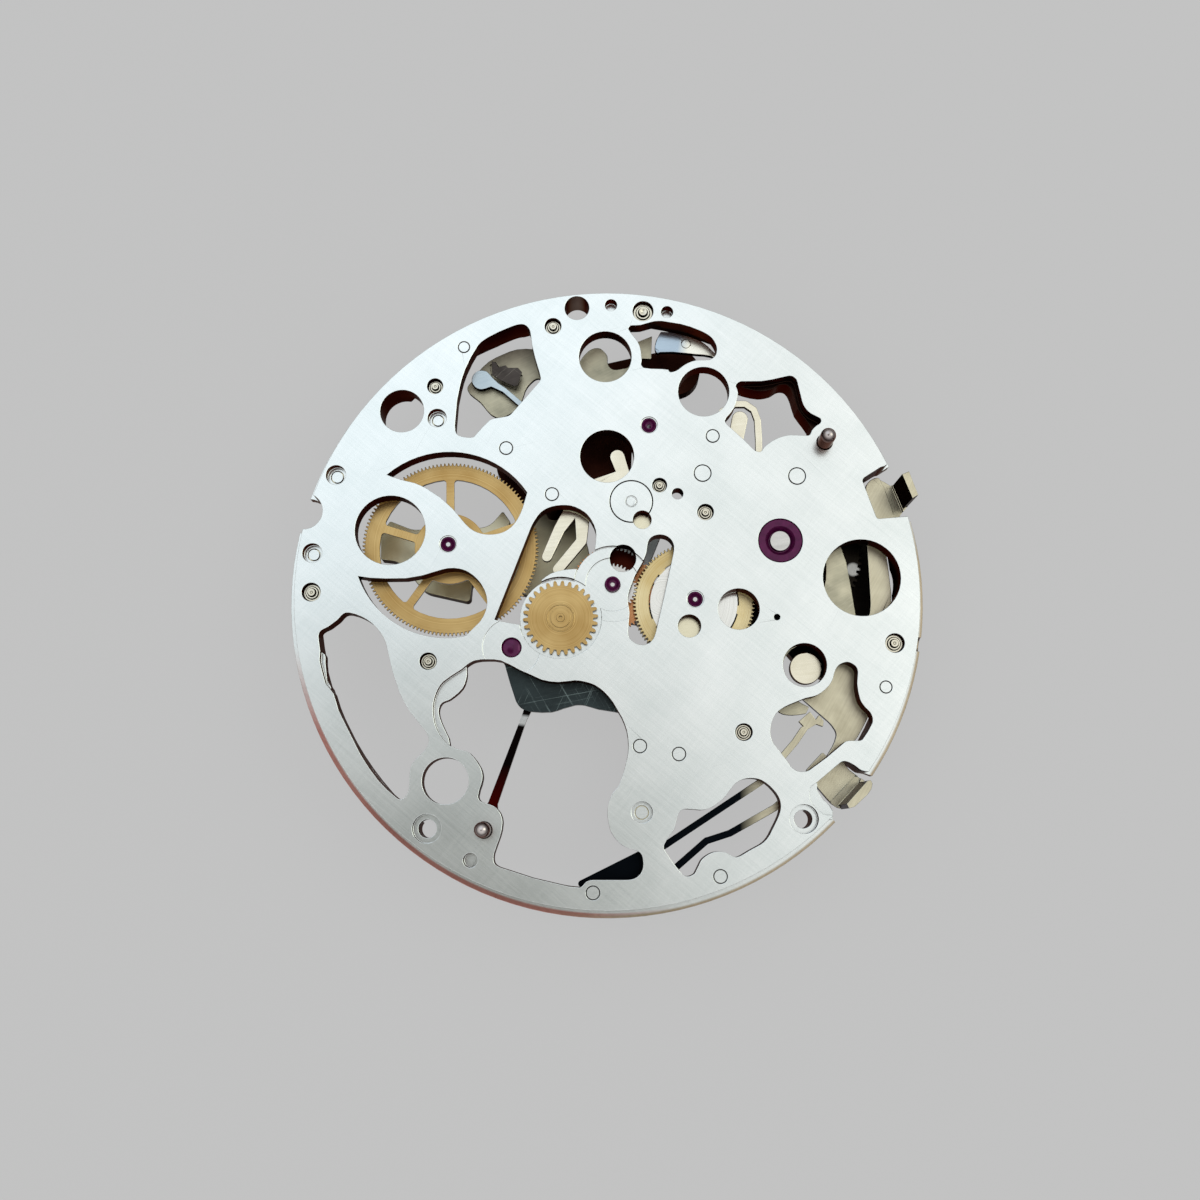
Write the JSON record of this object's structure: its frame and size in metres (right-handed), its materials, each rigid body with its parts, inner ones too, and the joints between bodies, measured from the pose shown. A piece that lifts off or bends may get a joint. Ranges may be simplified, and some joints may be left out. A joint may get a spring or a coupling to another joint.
{
  "type": "skeleton watch movement",
  "caption": "Round openworked chronograph watch movement: brushed plate with windows over gilt wheels, steel levers and springs, jewels, bridges and a full going train.",
  "frame": {"origin": "centre of the main plate's round outline, on the plane of the bridges' flat backs", "axes": "+Z out of the dial face, +X towards the winding stem at three o'clock"},
  "size_m": [0.03, 0.03, 0.0062],
  "materials": {
    "bridge": "nickel plated, fine straight brushing",
    "champagne": "straight-grained steel with a warm tone",
    "copper_gold": "gilt with an orange tone",
    "dark": "dark coated steel",
    "gold": "gilt, fine circular brushing",
    "plate": "nickel plated, fine straight brushing",
    "ruby": "polished synthetic ruby",
    "spring_steel": "spring steel",
    "steel": "polished steel"
  },
  "bodies": {
    "frame": {"main_plate": "plate", "train_jewels": "ruby", "barrel_jewel": "ruby", "end_jewel": "ruby", "dial_posts": "steel", "steady_pins": "steel", "screw_tubes": "champagne", "eccentric_stud": "plate", "train_bridge": "bridge", "barrel_bridge": "bridge", "counter_bridge": "bridge", "balance_cock": "bridge", "escapement_bridge": "champagne", "bridge_screws": "steel", "corner_cover": "champagne", "lever_cover": "champagne", "dark_cover": "dark", "upper_jumper_spring": "champagne", "lower_jumper_spring": "champagne", "hairpin_spring": "champagne", "detent_spring": "spring_steel", "crown_wheel_screw": "steel", "hairspring": "spring_steel", "hairspring_stud": "steel", "lever_studs": "steel"},
    "winding_shaft": {"barrel_arbor": "steel", "ratchet_wheel": "steel", "ratchet_screw": "steel"},
    "barrel": {"barrel_drum": "gold", "barrel_cover": "gold", "mainspring": "spring_steel"},
    "crown_wheel": {"crown_wheel": "steel"},
    "click": {"click": "steel"},
    "second": {"second_wheel": "gold", "second_arbor": "steel", "friction_disc": "plate"},
    "centre": {"centre_wheel": "copper_gold", "centre_arbor": "steel"},
    "third": {"third_wheel": "gold", "third_arbor": "steel"},
    "fourth": {"fourth_wheel": "gold", "fourth_arbor": "steel"},
    "escape": {"escape_wheel": "gold", "escape_arbor": "steel"},
    "fork": {"pallet_fork": "steel", "pallet_stones": "ruby"},
    "balance": {"balance_wheel": "gold", "balance_staff": "steel"},
    "minute": {"minute_wheel": "gold", "minute_arbor": "gold"},
    "counter": {"counter_wheel": "gold", "counter_arbor": "steel"},
    "start_lever": {"start_lever": "champagne"},
    "reset_lever": {"reset_lever": "champagne"},
    "coupling_lever": {"coupling_lever": "steel"},
    "counter_lever": {"counter_lever": "steel"},
    "release_lever": {"release_lever": "champagne"},
    "brake_lever": {"brake_lever": "spring_steel"},
    "column_lever": {"column_lever": "champagne"},
    "setting_button": {"setting_button": "champagne"}
  },
  "joints": [
    {"name": "second_spin", "type": "hinge", "parent": "frame", "child": "second", "pos_m": [0.00412, 0.00028, 0.002], "axis": [0, 0, 1], "continuous": true},
    {"name": "barrel_spin", "type": "hinge", "parent": "frame", "child": "barrel", "pos_m": [0.00766, 0.00366, 0.002], "axis": [0, 0, 1], "continuous": true},
    {"name": "centre_spin", "type": "hinge", "parent": "frame", "child": "centre", "pos_m": [0.0002, 0.0004, 0.002], "axis": [0, 0, 1], "continuous": true},
    {"name": "third_spin", "type": "hinge", "parent": "frame", "child": "third", "pos_m": [0.00575, -0.00238, 0.002], "axis": [0, 0, 1], "continuous": true},
    {"name": "fourth_spin", "type": "hinge", "parent": "frame", "child": "fourth", "pos_m": [0.00395, -0.00298, 0.002], "axis": [0, 0, 1], "continuous": true},
    {"name": "escape_spin", "type": "hinge", "parent": "frame", "child": "escape", "pos_m": [0.00255, -0.0039, 0.002], "axis": [0, 0, 1], "continuous": true},
    {"name": "minute_spin", "type": "hinge", "parent": "frame", "child": "minute", "pos_m": [-0.00195, -0.00157, 0.002], "axis": [0, 0, 1], "continuous": true},
    {"name": "counter_spin", "type": "hinge", "parent": "frame", "child": "counter", "pos_m": [-0.00772, 0.00105, 0.002], "axis": [0, 0, 1], "continuous": true},
    {"name": "winding_spin", "type": "hinge", "parent": "frame", "child": "winding_shaft", "pos_m": [0.00766, 0.00366, 0.002], "axis": [0, 0, 1], "continuous": true},
    {"name": "crown_wheel_spin", "type": "hinge", "parent": "frame", "child": "crown_wheel", "pos_m": [0.0112, 0.0004, 0.002], "axis": [0, 0, 1], "continuous": true},
    {"name": "click_turn", "type": "hinge", "parent": "frame", "child": "click", "pos_m": [0.00545, 0.0066, 0.002], "axis": [0, 0, 1], "range_deg": [0, 10], "stiffness_Nm_per_rad": 0.0002},
    {"name": "fork_rock", "type": "hinge", "parent": "frame", "child": "fork", "pos_m": [0.00375, -0.00493, 0.002], "axis": [0, 0, 1], "range_deg": [-7, 7]},
    {"name": "balance_swing", "type": "hinge", "parent": "frame", "child": "balance", "pos_m": [0.00482, -0.00585, 0.002], "axis": [0, 0, 1], "range_deg": [-270, 270], "stiffness_Nm_per_rad": 0.000001},
    {"name": "start_lever_turn", "type": "hinge", "parent": "frame", "child": "start_lever", "pos_m": [0.01292, 0.00082, 0.002], "axis": [0, 0, 1], "range_deg": [0, 3], "stiffness_Nm_per_rad": 0.01},
    {"name": "reset_lever_turn", "type": "hinge", "parent": "frame", "child": "reset_lever", "pos_m": [0.01275, -0.00295, 0.002], "axis": [0, 0, 1], "range_deg": [-3, 0], "stiffness_Nm_per_rad": 0.01},
    {"name": "coupling_lever_turn", "type": "hinge", "parent": "frame", "child": "coupling_lever", "pos_m": [0.00415, 0.0121, 0.002], "axis": [0, 0, 1], "range_deg": [-2, 2]},
    {"name": "counter_lever_turn", "type": "hinge", "parent": "frame", "child": "counter_lever", "pos_m": [-0.0044, 0.0074, 0.002], "axis": [0, 0, 1], "range_deg": [-3, 3]},
    {"name": "release_lever_turn", "type": "hinge", "parent": "frame", "child": "release_lever", "pos_m": [0.00455, 0.00705, 0.002], "axis": [0, 0, 1], "range_deg": [-3, 3]},
    {"name": "brake_lever_turn", "type": "hinge", "parent": "frame", "child": "brake_lever", "pos_m": [-0.00381, -0.01175, 0.002], "axis": [0, 0, 1], "range_deg": [-2, 2]},
    {"name": "column_lever_turn", "type": "hinge", "parent": "frame", "child": "column_lever", "pos_m": [-0.0019, 0.00475, 0.002], "axis": [0, 0, 1], "range_deg": [-2, 2]},
    {"name": "setting_button_turn", "type": "hinge", "parent": "frame", "child": "setting_button", "pos_m": [0.00977, -0.00199, 0.002], "axis": [0, 0, 1], "range_deg": [0, 30]}
  ],
  "couplings": [
    {"joint": "barrel_spin", "follows": "second_spin", "ratio": -0.18478},
    {"joint": "centre_spin", "follows": "second_spin", "ratio": -2.5946},
    {"joint": "minute_spin", "follows": "second_spin", "ratio": 1.6},
    {"joint": "third_spin", "follows": "second_spin", "ratio": -9.6},
    {"joint": "fourth_spin", "follows": "second_spin", "ratio": 72},
    {"joint": "escape_spin", "follows": "second_spin", "ratio": -720},
    {"joint": "crown_wheel_spin", "follows": "winding_spin", "ratio": -1.6667}
  ]
}
